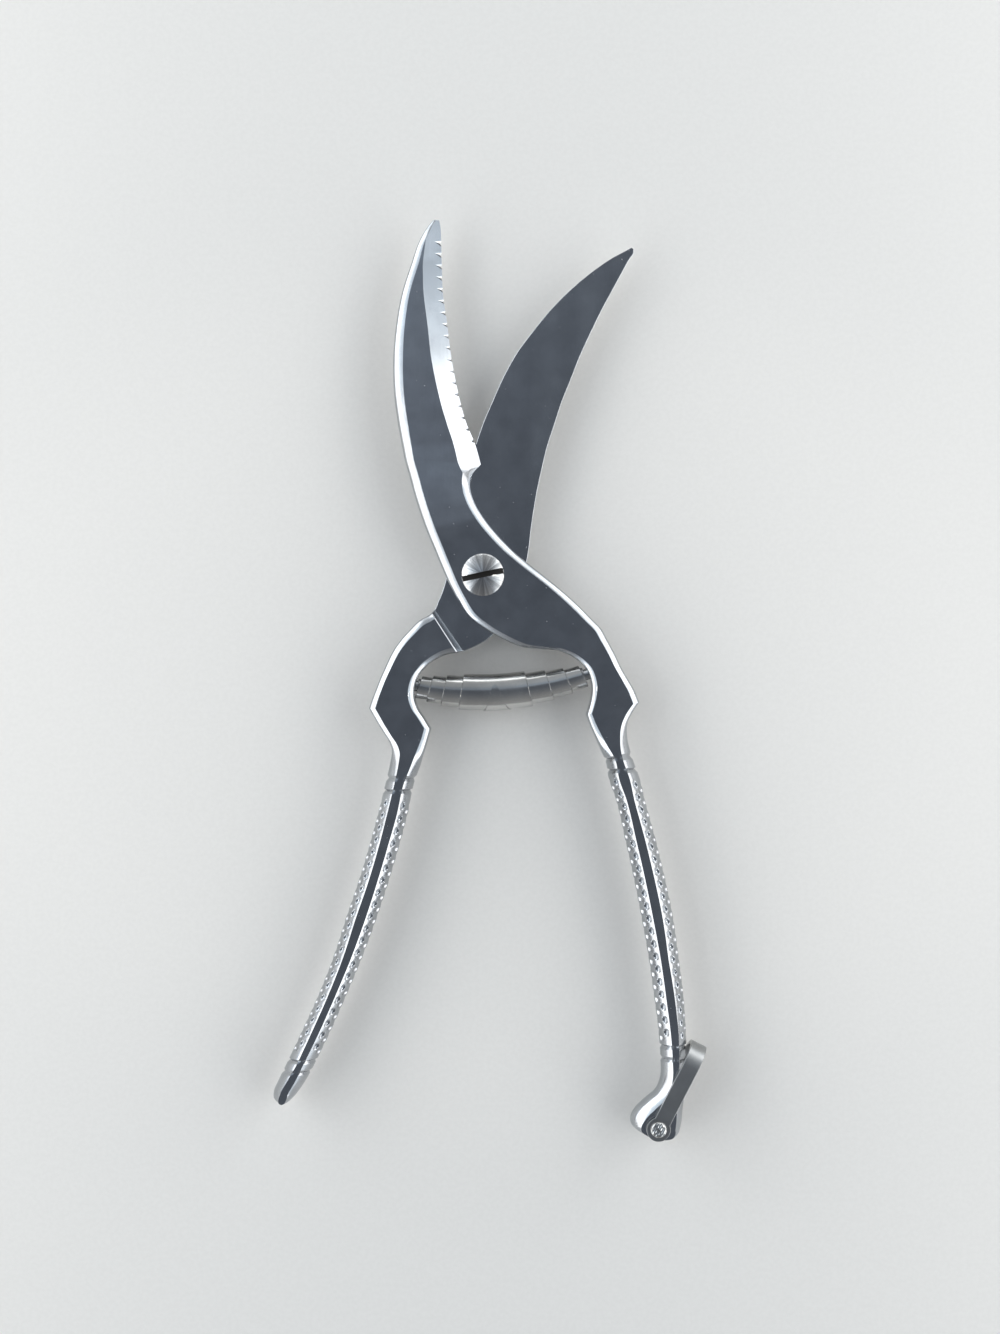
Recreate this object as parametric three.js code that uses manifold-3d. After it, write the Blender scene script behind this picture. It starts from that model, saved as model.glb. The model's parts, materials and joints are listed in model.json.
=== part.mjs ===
// Poultry shears: two curved halves on a slotted screw, a volute spring between the arms and a strap latch.
// Millimetres. +Y runs from the pivot to the blade tips, +Z out of the slotted face.
// The pivot axis is X = Y = 0.
import * as THREE from 'three';
import { mergeVertices } from 'three/addons/utils/BufferGeometryUtils.js';
import Module from 'manifold-3d';

const wasm = await Module();
wasm.setup();

// Heights above the nut's outer face
const BACK = 3.0;               // back flat of both arms and handles
const FRONT = 12.4;             // front flat of both arms and handles
const MID = (BACK + FRONT) / 2; // plane where the two blades slide on each other
const SLIDE_GAP = 0.05;         // each blade's clearance from that plane
const TIP_THICKNESS = 2.0;      // each blade at its tip
const EDGE_LAND = 0.35;         // thickness left at a cutting edge

// Lap joint
const SERRATED_SHOULDER = { reach: 18.5, angle: -35 };  // distance from the pivot, direction in degrees
const PLAIN_SHOULDER = { reach: 16.8, angle: -145 };
const SHOULDER_SLOPE = 1.2;
const LAP_REACH = 140;   // longer than either half

// Pivot
const PIVOT_SHANK_R = 3.0;
const PIVOT_BORE_R = 3.08;
const HEAD = { r: 5.65, rim: 0.55, dome: 1.9, seatGap: 0.05 };
const SLOT = { width: 1.15, depth: 1.1, angle: 12 };
const NUT = { across: 10, height: 2.9, bore: 3.06 };

// Latch
const RIVET = { x: 47.0, y: -148.4, r: 1.25, bore: 1.33, headR: 2.15, headH: 1.0 };
const STRAP = { sheet: 1.2, width: 4.4, eyeR: 3.2, bendAt: 18.4, gap: 0.5, angle: 62.7 };

// Spring: turns along an arc that bows away from the pivot, named from the plain half's end
const ARC = { x0: -17.6, y0: -29.9, chord: 45.4, tilt: 3.9, halfAngle: 14 };
const TURNS = [
  { name: 'spring_turn_1', from: 0.3, to: 4.1, r: 2.95 },
  { name: 'spring_turn_2', from: 4.1, to: 7.9, r: 3.55 },
  { name: 'spring_turn_3', from: 7.9, to: 12.6, r: 4.1 },
  { name: 'spring_turn_4', from: 12.6, to: 29.3, r: 4.7 },
  { name: 'spring_turn_5', from: 29.3, to: 35.0, r: 4.1 },
  { name: 'spring_turn_6', from: 35.0, to: 40.1, r: 3.55 },
  { name: 'spring_turn_7', from: 40.1, to: 45.2, r: 2.95 },
];
const TURN_WALL = 0.3;
const TURN_OVERLAP = 1.5;
const PEG = { r: 1.5, collarR: 2.1, collar: 0.8, tail: 3.0, length: 4.6, bore: 1.56, gap: 0.3 };

// Rounding of the arms and handles
const ROUND_DEPTH = { arm: 1.9, blade: 1.6, bladeShare: 0.8, plateShare: 0.55 };
const SQUARE_EDGE = 0.1;          // chamfer where two lapped faces meet
const HANDLE_ROWS = { from: 20, to: 16 };   // rows before the end where the section becomes a full round
const NECK_ROWS = 4;              // rows past the blade over which it reaches full thickness
const LAP_ROWS = 8;               // rows past the blade that stay lapped

// Serrated half: each row is one station, from a point on the spine or inner side
// to the point across from it on the cutting edge or outer side
const SERRATED_ROWS = [
  [-13.4, 95.9, -11.8, 95.9], [-14.7, 94.4, -11.5, 94.4], [-17.0, 90.6, -11.3, 90.6],
  [-19.4, 83.9, -11.1, 83.9], [-21.8, 76.4, -10.8, 76.4], [-23.5, 67.0, -9.6, 67.5],
  [-24.2, 58.1, -8.5, 58.7], [-24.0, 49.6, -6.8, 49.8], [-23.0, 41.5, -4.6, 41.5],
  [-21.8, 34.8, -1.9, 34.8], [-21.0, 30.8, -0.6, 30.0], [-19.9, 27.0, -2.8, 27.4],
  [-18.8, 22.8, -3.4, 23.8], [-17.4, 18.2, -2.4, 20.1], [-15.2, 12.0, 0.2, 15.5],
  [-12.9, 6.5, 3.8, 11.0], [-10.9, 1.7, 7.8, 6.9], [-8.9, -2.7, 11.7, 3.5],
  [-6.7, -6.7, 15.6, 0.4], [-4.0, -10.9, 19.6, -2.8], [-0.1, -14.0, 23.1, -5.8],
  [5.4, -17.2, 26.4, -8.9], [10.5, -19.3, 29.4, -12.0], [15.6, -19.9, 31.8, -14.5],
  [20.2, -20.3, 33.3, -17.2], [24.4, -22.1, 35.3, -20.9], [27.7, -25.0, 37.3, -25.1],
  [29.1, -28.4, 39.2, -28.4], [29.2, -32.2, 40.7, -31.0], [28.6, -35.1, 41.4, -32.7],
  [27.9, -37.5, 42.0, -34.2], [28.2, -39.4, 40.3, -36.7], [29.5, -43.4, 38.8, -40.0],
  [31.0, -47.2, 38.9, -43.7], [32.5, -49.3, 40.3, -49.1], [34.0, -55.0, 42.4, -55.0],
  [35.8, -60.3, 43.7, -60.3], [38.3, -71.0, 46.6, -71.0], [40.7, -81.8, 49.2, -81.8],
  [42.7, -92.0, 51.3, -92.0], [44.7, -103.2, 52.9, -103.2], [46.2, -113.9, 54.2, -113.9],
  [47.4, -123.3, 54.8, -123.3], [47.9, -130.5, 54.9, -130.5], [47.8, -135.4, 54.7, -135.9],
  [46.6, -138.4, 54.5, -139.7], [43.7, -141.0, 54.2, -141.8], [41.2, -143.4, 53.9, -143.9],
  [39.8, -146.0, 53.7, -146.4], [39.9, -147.8, 53.3, -148.8], [41.2, -149.2, 52.8, -150.2],
  [43.7, -150.5, 51.6, -151.2], [46.7, -151.4, 49.6, -151.6],
];
const SERRATED_BLADE_ROWS = 12;   // rows before the neck
// Widths of the rounded front edges [row, inner side, outer side], linear between the rows named
const SERRATED_ROUNDING = [
  [0, 0.2, 0.3], [2, 1.6, 2.2], [4, 2.2, 5.1], [10, 2.5, 5.6], [12, 2.5, 2.2], [18, 1.8, 1.8],
  [33, 1.7, 1.7], [36, 3.0, 3.0], [44, 3.0, 3.0], [48, 3.6, 2.4], [50, 2.6, 2.2], [52, 0.8, 0.8],
];

// Plain half: cutting edge or outer side first, then the spine or inner side
const PLAIN_ROWS = [
  [40.1, 88.6, 40.7, 88.1], [39.2, 88.1, 40.7, 87.2], [34.8, 85.7, 39.6, 85.5],
  [28.9, 81.6, 37.5, 81.7], [22.8, 76.4, 34.5, 76.2], [17.6, 71.0, 31.5, 70.5],
  [13.2, 65.6, 28.9, 65.1], [9.0, 59.9, 26.2, 59.2], [5.4, 53.4, 23.6, 52.6],
  [2.5, 46.9, 21.2, 46.6], [-0.1, 40.8, 19.3, 40.7], [-2.2, 34.5, 17.3, 34.5],
  [-3.8, 29.2, 15.9, 28.6], [-5.3, 24.1, 14.8, 23.6], [-6.6, 18.5, 13.9, 18.5],
  [-7.9, 12.8, 13.1, 13.1], [-8.8, 7.5, 12.5, 8.0], [-9.5, 2.7, 11.8, 3.5],
  [-10.1, -1.4, 10.6, -2.2], [-11.3, -5.0, 8.6, -7.3], [-13.7, -8.7, 5.9, -12.1],
  [-17.1, -12.2, 2.3, -16.2], [-19.8, -14.9, -0.9, -18.3], [-22.3, -17.7, -4.4, -20.0],
  [-24.1, -20.3, -8.0, -21.0], [-25.4, -22.8, -11.2, -21.9], [-26.6, -25.5, -14.2, -23.6],
  [-27.8, -28.2, -16.6, -26.0], [-28.8, -30.8, -18.0, -28.7], [-29.8, -33.4, -18.4, -32.2],
  [-30.6, -35.8, -17.5, -35.7], [-29.4, -37.9, -15.8, -38.3], [-28.0, -40.3, -14.0, -41.3],
  [-26.3, -43.0, -14.8, -44.2], [-25.0, -45.2, -15.5, -46.5], [-24.5, -47.2, -16.1, -48.4],
  [-24.9, -49.9, -16.6, -50.3], [-26.3, -56.0, -18.6, -56.0], [-28.4, -64.3, -20.3, -64.3],
  [-30.6, -72.4, -22.5, -72.7], [-33.4, -81.8, -25.3, -82.2], [-36.9, -92.1, -28.5, -92.0],
  [-40.5, -103.2, -32.5, -102.9], [-44.7, -113.7, -36.9, -113.4], [-49.3, -123.8, -41.5, -123.8],
  [-53.0, -131.7, -45.4, -131.7], [-55.2, -136.2, -47.7, -136.0], [-56.5, -139.4, -49.7, -139.0],
  [-56.4, -140.9, -51.1, -140.7], [-55.4, -141.7, -52.6, -141.9], [-54.5, -142.1, -53.6, -142.1],
];
const PLAIN_BLADE_ROWS = 13;
const PLAIN_ROUNDING = [
  [0, 0.3, 0.2], [2, 2.2, 1.6], [4, 5.1, 2.2], [12, 5.6, 2.5], [14, 2.2, 2.5], [20, 1.8, 1.8],
  [35, 1.7, 1.7], [37, 3.0, 3.0], [46, 3.0, 3.0], [48, 2.0, 2.0], [50, 0.3, 0.3],
];

// Notches in the cutting edge: the first one's Y, then equal steps towards the pivot
const TOOTH = { count: 18, first: 89.7, pitch: 3.14, r: 1.15, tipR: 0.25, reach: 2.1, overhang: 1 };
const TOOTH_PITCH_ANGLE = 0.42;   // radians, along the bevel's slope
const TOOTH_SLANT = 0.12;         // radians, away from square to the edge

const steel = (roughness, color = 0xb9bdc2) =>
  new THREE.MeshStandardMaterial({ color, roughness, metalness: 1 });

// ---- solids ----
function toSolid(geometry) {
  const bare = geometry.clone();
  bare.deleteAttribute('normal');
  bare.deleteAttribute('uv');
  const merged = mergeVertices(bare, 1e-4);
  return new wasm.Manifold(new wasm.Mesh({
    numProp: 3,
    vertProperties: new Float32Array(merged.attributes.position.array),
    triVerts: new Uint32Array(merged.index.array),
  }));
}

function toGeometry(solid) {
  const mesh = solid.getMesh();
  const geometry = new THREE.BufferGeometry();
  geometry.setAttribute('position', new THREE.BufferAttribute(mesh.vertProperties, 3));
  geometry.setIndex(new THREE.BufferAttribute(mesh.triVerts, 1));
  return geometry;
}

function cut(geometry, cutters) {
  let solid = toSolid(geometry);
  for (const cutter of cutters) {
    solid = solid.subtract(toSolid(cutter));
  }
  return toGeometry(solid);
}

function cylinder(r, z0, z1, x = 0, y = 0, sides = 32) {
  const geometry = new THREE.CylinderGeometry(r, r, z1 - z0, sides);
  geometry.rotateX(Math.PI / 2);
  return geometry.translate(x, y, (z0 + z1) / 2);
}

function lathe(profile, sides = 32) {
  const points = profile.map(([r, z]) => new THREE.Vector2(r, z));
  return new THREE.LatheGeometry(points, sides).rotateX(Math.PI / 2);
}

// ---- the two halves ----
function lookUp(table, row) {
  let k = 1;
  while (k < table.length - 1 && table[k][0] < row) {
    k += 1;
  }
  const [a, b] = [table[k - 1], table[k]];
  const t = THREE.MathUtils.clamp((row - a[0]) / (b[0] - a[0]), 0, 1);
  return [THREE.MathUtils.lerp(a[1], b[1], t), THREE.MathUtils.lerp(a[2], b[2], t)];
}

// One quarter of a section: a rounded edge, or a straight bevel where straight is 1
function edgePoints(straight, steps = 3) {
  const points = [];
  for (let k = 0; k <= steps; k += 1) {
    const a = (k / steps) * Math.PI / 2;
    const t = k / steps;
    points.push([
      THREE.MathUtils.lerp(1 - Math.sin(a), 1 - t, straight),
      THREE.MathUtils.lerp(1 - Math.cos(a), t, straight),
    ]);
  }
  return points;   // from the flat face [1, 0] to the side wall [0, 1], as shares of width and depth
}

// A closed section from the first edge to the second, through the thickness
function section(row, place) {
  const [xa, ya, xb, yb] = row;
  const span = Math.hypot(xb - xa, yb - ya);
  const at = (inset, z, fromEnd) => {
    const t = THREE.MathUtils.clamp((fromEnd ? span - inset : inset) / span, 0, 1);
    return [THREE.MathUtils.lerp(xa, xb, t), THREE.MathUtils.lerp(ya, yb, t), z];
  };
  const points = [];
  const limit = (w) => Math.min(w, span * 0.46);
  const quarters = [
    { edge: place.frontFirst, top: place.top, sign: -1, fromEnd: false, reverse: false },
    { edge: place.backFirst, top: place.bottom, sign: 1, fromEnd: false, reverse: true },
    { edge: place.backSecond, top: place.bottom, sign: 1, fromEnd: true, reverse: false },
    { edge: place.frontSecond, top: place.top, sign: -1, fromEnd: true, reverse: true },
  ];
  for (const q of quarters) {
    let shape = edgePoints(q.edge.straight);
    if (q.reverse) {
      shape = shape.reverse();
    }
    for (const [u, v] of shape) {
      points.push(at(limit(q.edge.w) * u, q.top + q.sign * v * q.edge.d, q.fromEnd));
    }
  }
  return points;
}

function loft(sections) {
  const n = sections[0].length;
  const position = sections.flat(2);
  const index = [];
  for (let s = 0; s < sections.length - 1; s += 1) {
    for (let k = 0; k < n; k += 1) {
      const [a, b] = [s * n + k, s * n + (k + 1) % n];
      index.push(a, b, a + n, b, b + n, a + n);
    }
  }
  const last = (sections.length - 1) * n;
  for (let k = 1; k < n - 1; k += 1) {
    index.push(0, k + 1, k);
    index.push(last, last + k, last + k + 1);
  }
  const geometry = new THREE.BufferGeometry();
  geometry.setAttribute('position', new THREE.Float32BufferAttribute(position, 3));
  geometry.setIndex(index);
  return geometry;
}

// Stations of one half. The blade thins towards its tip on its outer face only.
function halfSections(rows, rounding, bladeRows, serrated) {
  return rows.map((row, i) => {
    const [wFirst, wSecond] = lookUp(rounding, i);
    const along = THREE.MathUtils.clamp(1 - i / (bladeRows + NECK_ROWS), 0, 1);
    const thin = ((FRONT - MID) - TIP_THICKNESS) * along;
    const blade = i < bladeRows;
    const rowsLeft = rows.length - i;
    const handle = 1 - THREE.MathUtils.smoothstep(rowsLeft, HANDLE_ROWS.to, HANDLE_ROWS.from);
    const depth = THREE.MathUtils.lerp(ROUND_DEPTH.arm, (FRONT - BACK) / 2, handle);
    const plateDepth = Math.min(depth, (FRONT - MID) * ROUND_DEPTH.plateShare);
    const bladeDepth = (w) => Math.min(ROUND_DEPTH.blade, ROUND_DEPTH.bladeShare * w);
    const roundEdge = (w) => ({ w, d: blade ? bladeDepth(w) : plateDepth, straight: 0 });
    const full = (w) => ({ w, d: depth, straight: 0 });
    const bevel = (w) => ({ w, d: (FRONT - MID) - thin - EDGE_LAND, straight: 1 });
    const square = { w: SQUARE_EDGE, d: SQUARE_EDGE, straight: 0 };
    const arm = i > bladeRows + LAP_ROWS;
    const outer = (w) => (arm ? full(w) : roundEdge(w));
    const inner = (w) => (arm ? full(w) : square);
    const place = { top: FRONT, bottom: BACK };
    if (serrated) {
      place.top = FRONT - thin;
      place.frontFirst = outer(wFirst);
      place.frontSecond = blade ? bevel(wSecond) : outer(wSecond);
      place.backFirst = inner(wFirst);
      place.backSecond = inner(wSecond);
    } else {
      place.bottom = BACK + thin;
      place.backSecond = outer(wSecond);
      place.backFirst = blade ? bevel(wFirst) : outer(wFirst);
      place.frontFirst = inner(wFirst);
      place.frontSecond = inner(wSecond);
    }
    return section(row, place);
  });
}

// Removes the other half's share of the thickness on the pivot's side of the shoulder
function lapCutter(shoulder, z0, z1, slopeTowards) {
  const far = LAP_REACH;
  const outline = new THREE.Shape([
    new THREE.Vector2(-far, z0),
    new THREE.Vector2(shoulder.reach + (slopeTowards < 0 ? -SHOULDER_SLOPE : 0), z0),
    new THREE.Vector2(shoulder.reach + (slopeTowards > 0 ? -SHOULDER_SLOPE : 0), z1),
    new THREE.Vector2(-far, z1),
  ]);
  const geometry = new THREE.ExtrudeGeometry(outline, { depth: 2 * far, bevelEnabled: false });
  geometry.translate(0, 0, -far).rotateX(Math.PI / 2);
  return geometry.rotateZ(THREE.MathUtils.degToRad(shoulder.angle));
}

// Half-round gullets filed across the bevel at equal steps down the cutting edge
function gullets() {
  const cutters = [];
  const edge = SERRATED_ROWS.slice(0, SERRATED_BLADE_ROWS - 1).map((row) => [row[2], row[3]]);
  for (let k = 0; k < TOOTH.count; k += 1) {
    const y = TOOTH.first - k * TOOTH.pitch;
    const j = edge.findIndex((p) => p[1] < y);
    const [a, b] = [edge[j - 1], edge[j]];
    const x = THREE.MathUtils.lerp(a[0], b[0], (a[1] - y) / (a[1] - b[1]));
    const slant = Math.atan2(a[1] - b[1], a[0] - b[0]) - Math.PI / 2;
    const groove = new THREE.CylinderGeometry(TOOTH.r, TOOTH.tipR, TOOTH.reach + TOOTH.overhang, 10);
    groove.rotateZ(-Math.PI / 2).translate((TOOTH.overhang - TOOTH.reach) / 2, 0, 0);
    groove.rotateY(TOOTH_PITCH_ANGLE).rotateZ(slant - TOOTH_SLANT);
    cutters.push(groove.translate(x, y, MID + EDGE_LAND + TOOTH.tipR));
  }
  return cutters;
}

function pegBore(end) {
  const bore = cylinder(PEG.bore, -PEG.tail - 0.2, 3, 0, 0, 20);
  return placeOnPegAxis(bore, end);
}

function serratedHalf() {
  const body = loft(halfSections(SERRATED_ROWS, SERRATED_ROUNDING, SERRATED_BLADE_ROWS, true));
  return cut(body, [
    lapCutter(SERRATED_SHOULDER, BACK - 2, MID + SLIDE_GAP, 1),
    cylinder(PIVOT_BORE_R, 0, 20),
    cylinder(RIVET.bore, 0, 20, RIVET.x, RIVET.y, 20),
    pegBore('right'),
    ...gullets(),
  ]);
}

function plainHalf() {
  const body = loft(halfSections(PLAIN_ROWS, PLAIN_ROUNDING, PLAIN_BLADE_ROWS, false));
  return cut(body, [
    lapCutter(PLAIN_SHOULDER, MID - SLIDE_GAP, FRONT + 2, -1),
    cylinder(PIVOT_BORE_R, 0, 20),
    pegBore('left'),
  ]);
}

// ---- pivot ----
function pivotScrew() {
  const seat = FRONT + HEAD.seatGap;
  const dome = [];
  for (let k = 0; k <= 6; k += 1) {
    const a = (k / 6) * Math.PI / 2;
    dome.push([HEAD.r * Math.cos(a), seat + HEAD.rim + HEAD.dome * Math.sin(a)]);
  }
  dome[6][0] = 0;
  const body = lathe([[0, 0], [PIVOT_SHANK_R - 0.4, 0], [PIVOT_SHANK_R, 0.4],
    [PIVOT_SHANK_R, seat], [HEAD.r, seat], ...dome]);
  const slot = new THREE.BoxGeometry(14, SLOT.width, 4);
  slot.translate(0, 0, seat + HEAD.rim + HEAD.dome - SLOT.depth + 2);
  return cut(body, [slot.rotateZ(THREE.MathUtils.degToRad(SLOT.angle))]);
}

function pivotNut() {
  const r = NUT.across / 2 / Math.cos(Math.PI / 6);
  const hexagon = new THREE.CylinderGeometry(r, r, NUT.height, 6);
  hexagon.rotateX(Math.PI / 2).translate(0, 0, NUT.height / 2);
  return cut(hexagon, [cylinder(NUT.bore, -1, 5)]);
}

// ---- latch ----
function latchStrap() {
  const gap = STRAP.gap;
  const low = BACK - gap;
  const high = FRONT + gap;
  const inner = (high - low) / 2;
  const outer = inner + STRAP.sheet;
  const side = new THREE.Shape();
  side.moveTo(0, high);
  side.lineTo(STRAP.bendAt, high);
  side.absarc(STRAP.bendAt, MID, inner, Math.PI / 2, -Math.PI / 2, true);
  side.lineTo(0, low);
  side.lineTo(0, low - STRAP.sheet);
  side.lineTo(STRAP.bendAt, low - STRAP.sheet);
  side.absarc(STRAP.bendAt, MID, outer, -Math.PI / 2, Math.PI / 2, false);
  side.lineTo(0, high + STRAP.sheet);
  const options = { depth: STRAP.width, bevelEnabled: false, curveSegments: 10 };
  const strip = new THREE.ExtrudeGeometry(side, options);
  strip.translate(0, 0, -STRAP.width / 2).rotateX(Math.PI / 2);
  const frontEye = cylinder(STRAP.eyeR, high, high + STRAP.sheet);
  const backEye = cylinder(STRAP.eyeR, low - STRAP.sheet, low);
  const solid = toSolid(strip).add(toSolid(frontEye)).add(toSolid(backEye));
  const bored = solid.subtract(toSolid(cylinder(RIVET.bore, -5, 25, 0, 0, 20)));
  const geometry = toGeometry(bored);
  geometry.rotateZ(THREE.MathUtils.degToRad(STRAP.angle));
  return geometry.translate(RIVET.x, RIVET.y, 0);
}

function latchRivet() {
  const clearance = 0.1;
  const top = FRONT + STRAP.gap + STRAP.sheet + clearance;
  const bottom = BACK - STRAP.gap - STRAP.sheet - clearance;
  const head = (base, sign) => [0, 1, 2, 3].map((k) => {
    const a = (k / 3) * Math.PI / 2;
    return [k === 3 ? 0 : RIVET.headR * Math.cos(a), base + sign * RIVET.headH * (0.3 + 0.7 * Math.sin(a))];
  });
  const profile = [...head(bottom, -1).reverse(), [RIVET.headR, bottom], [RIVET.r, bottom],
    [RIVET.r, top], [RIVET.headR, top], ...head(top, 1)];
  return lathe(profile, 24).translate(RIVET.x, RIVET.y, 0);
}

// ---- spring ----
const ARC_R = ARC.chord / 2 / Math.sin(THREE.MathUtils.degToRad(ARC.halfAngle));

// Point and direction on the spring's axis, s millimetres from the plain half's end
function arcPoint(s) {
  const middle = ARC_R * THREE.MathUtils.degToRad(ARC.halfAngle);
  const turn = (s - middle) / ARC_R;
  const tilt = THREE.MathUtils.degToRad(ARC.tilt);
  const [u, v] = [ARC.chord / 2 + ARC_R * Math.sin(turn),
    -(ARC_R * Math.cos(turn) - ARC_R * Math.cos(middle / ARC_R))];
  return {
    x: ARC.x0 + u * Math.cos(tilt) - v * Math.sin(tilt),
    y: ARC.y0 + u * Math.sin(tilt) + v * Math.cos(tilt),
    angle: tilt + turn,
  };
}

// Lays a shape made along +Z onto the spring's axis, with its base on that end's arm
function placeOnPegAxis(geometry, end) {
  const left = end === 'left';
  const p = arcPoint(left ? 0 : TURNS[TURNS.length - 1].to + PEG.gap);
  geometry.rotateY(left ? Math.PI / 2 : -Math.PI / 2).rotateZ(p.angle);
  return geometry.translate(p.x, p.y, MID);
}

function springPeg(end) {
  const shape = lathe([[0, -PEG.tail], [PEG.r, -PEG.tail], [PEG.r, 0], [PEG.collarR, 0.02],
    [PEG.collarR, PEG.collar - 0.25], [PEG.collarR - 0.3, PEG.collar], [PEG.r, PEG.collar],
    [PEG.r, PEG.length - 1.1], [PEG.r * 0.82, PEG.length - 0.5], [PEG.r * 0.45, PEG.length - 0.12],
    [0, PEG.length]], 20);
  return placeOnPegAxis(shape, end);
}

// Each turn is a short tube. Its larger neighbour slides over its end.
function springTurn(turn, k) {
  const a = arcPoint(turn.from);
  const b = arcPoint(turn.to);
  const length = Math.hypot(b.x - a.x, b.y - a.y);
  const under = TURN_OVERLAP / 2;
  const start = k === 0 ? 0 : -under;
  const stop = length + (k === TURNS.length - 1 ? 0 : under);
  const wall = turn.r - TURN_WALL;
  const tube = lathe([[wall, start], [turn.r, start], [turn.r, stop], [wall, stop], [wall, start]], 28);
  tube.rotateY(Math.PI / 2).rotateZ(Math.atan2(b.y - a.y, b.x - a.x));
  return tube.translate(a.x, a.y, MID);
}

// ---- assembly ----
const shears = new THREE.Group();

function add(name, geometry, material) {
  const mesh = new THREE.Mesh(geometry, material);
  mesh.name = name;
  shears.add(mesh);
}

add('serrated_half', serratedHalf(), steel(0.22));
add('plain_half', plainHalf(), steel(0.22));
add('pivot_screw', pivotScrew(), steel(0.18));
add('pivot_nut', pivotNut(), steel(0.3));
add('spring_peg_left', springPeg('left'), steel(0.2));
add('spring_peg_right', springPeg('right'), steel(0.2));
TURNS.forEach((turn, k) => add(turn.name, springTurn(turn, k), steel(0.3, 0xa9a59c)));
add('latch_strap', latchStrap(), steel(0.32));
add('latch_rivet', latchRivet(), steel(0.3));

export default shears;
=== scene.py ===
"""Poultry shears, open on a pale surface, seen from straight above. Metres, in the CAD model's frame."""
import json
import math

import bmesh
import bpy
import numpy as np
from mathutils import Matrix, Vector


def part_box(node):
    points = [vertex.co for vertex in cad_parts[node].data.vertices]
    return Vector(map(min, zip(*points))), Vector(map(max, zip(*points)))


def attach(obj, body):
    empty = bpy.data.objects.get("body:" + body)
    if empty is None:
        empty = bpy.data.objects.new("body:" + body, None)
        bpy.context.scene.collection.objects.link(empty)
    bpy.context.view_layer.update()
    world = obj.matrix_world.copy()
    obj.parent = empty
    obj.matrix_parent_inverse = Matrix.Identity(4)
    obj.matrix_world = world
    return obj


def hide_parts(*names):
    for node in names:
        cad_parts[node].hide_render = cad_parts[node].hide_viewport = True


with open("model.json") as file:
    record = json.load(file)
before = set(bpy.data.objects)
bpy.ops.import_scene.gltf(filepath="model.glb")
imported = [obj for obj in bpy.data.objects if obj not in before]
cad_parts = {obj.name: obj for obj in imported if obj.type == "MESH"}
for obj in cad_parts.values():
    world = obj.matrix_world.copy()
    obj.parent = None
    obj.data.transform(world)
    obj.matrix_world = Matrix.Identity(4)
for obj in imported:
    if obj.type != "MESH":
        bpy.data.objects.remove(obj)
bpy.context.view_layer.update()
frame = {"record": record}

MM = 0.001

# ---- sizes, in millimetres, taken from the frame where it holds them ----
SERRATED_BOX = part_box("serrated_half")
BACK = SERRATED_BOX[0][2] / MM
FRONT = SERRATED_BOX[1][2] / MM
MID = (BACK + FRONT) / 2
SLIDE_GAP = 0.05        # each blade's clearance from the plane on which they slide
TIP_THICKNESS = 1.4     # each blade at its tip
EDGE_LAND = 0.14        # thickness left at a cutting edge
LAP_EDGE = 0.12         # rounding where two lapped faces meet
TIP_ROW = 3             # before this row the serrated blade's bevel runs out to its point at one slope
PLATE_ROWS = 4          # rows past the blade over which a plate reaches its full thickness
GRIP_LEAD = 3           # rows over which an arm's rounding turns into the grip's
RIM_DEPTH = 0.95        # depth of an arm's rounding, as a share of its width
PLATE_DEPTH = 0.7       # the most of a plate's thickness that its rounding takes
ROUNDED_SHARE = 0.985   # the most of a section's width that its two roundings take
# How the plain half's front rises from the recess to the arm, as (share of the way, share of the height):
# a shallow lead-in, a steep wall and a soft crest
SHOULDER_RISE = ((0, 0), (0.1, 0.003), (0.2, 0.009), (0.3, 0.02), (0.34, 0.06), (0.8, 0.93), (0.86, 0.968),
                 (0.91, 0.985), (0.95, 0.994), (1, 1))


# ---- small geometry helpers ----
def hermite(points, corners):
    """A smooth curve through points, chord-length weighted, with a break in direction at each corner."""
    points = np.array(points, dtype=float)
    steps = np.diff(points, axis=0)
    length = np.maximum(np.linalg.norm(steps, axis=1), 1e-6)
    unit = steps / length[:, None]

    def slope(i, before):
        if i == 0:
            return unit[0]
        if i == len(points) - 1:
            return unit[-1]
        if i in corners:
            return unit[i - 1] if before else unit[i]
        a, b = length[i - 1], length[i]
        return (unit[i - 1] * b + unit[i] * a) / (a + b)

    def at(i, t):
        m0 = slope(i, False) * length[i]
        m1 = slope(i + 1, True) * length[i]
        t2, t3 = t * t, t * t * t
        return (points[i] * (2 * t3 - 3 * t2 + 1) + m0 * (t3 - 2 * t2 + t)
                + points[i + 1] * (3 * t2 - 2 * t3) + m1 * (t3 - t2))

    return at


def look_up(table, row):
    """Linear between the rows of a table whose first column is the row number."""
    rows = [entry[0] for entry in table]
    return [float(np.interp(row, rows, [entry[c] for entry in table])) for c in range(1, len(table[0]))]


def new_object(name, verts, faces, material, sharp_deg=30):
    mesh = bpy.data.meshes.new(name)
    mesh.from_pydata([tuple(v) for v in verts], [], [tuple(f) for f in faces])
    obj = bpy.data.objects.new(name, mesh)
    bpy.context.scene.collection.objects.link(obj)
    obj.data.materials.append(material)
    smooth_by_angle(obj, sharp_deg)
    return obj


def smooth_by_angle(obj, sharp_deg):
    """Smooth shading with an edge kept sharp where its two faces meet at more than the angle."""
    bm = bmesh.new()
    bm.from_mesh(obj.data)
    bmesh.ops.remove_doubles(bm, verts=bm.verts, dist=2e-6)
    bmesh.ops.dissolve_degenerate(bm, edges=bm.edges, dist=1e-6)
    bmesh.ops.recalc_face_normals(bm, faces=bm.faces)
    limit = math.radians(sharp_deg)
    for face in bm.faces:
        face.smooth = True
    for edge in bm.edges:
        edge.smooth = edge.is_manifold and edge.calc_face_angle(0) < limit
    bm.to_mesh(obj.data)
    bm.free()


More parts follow.
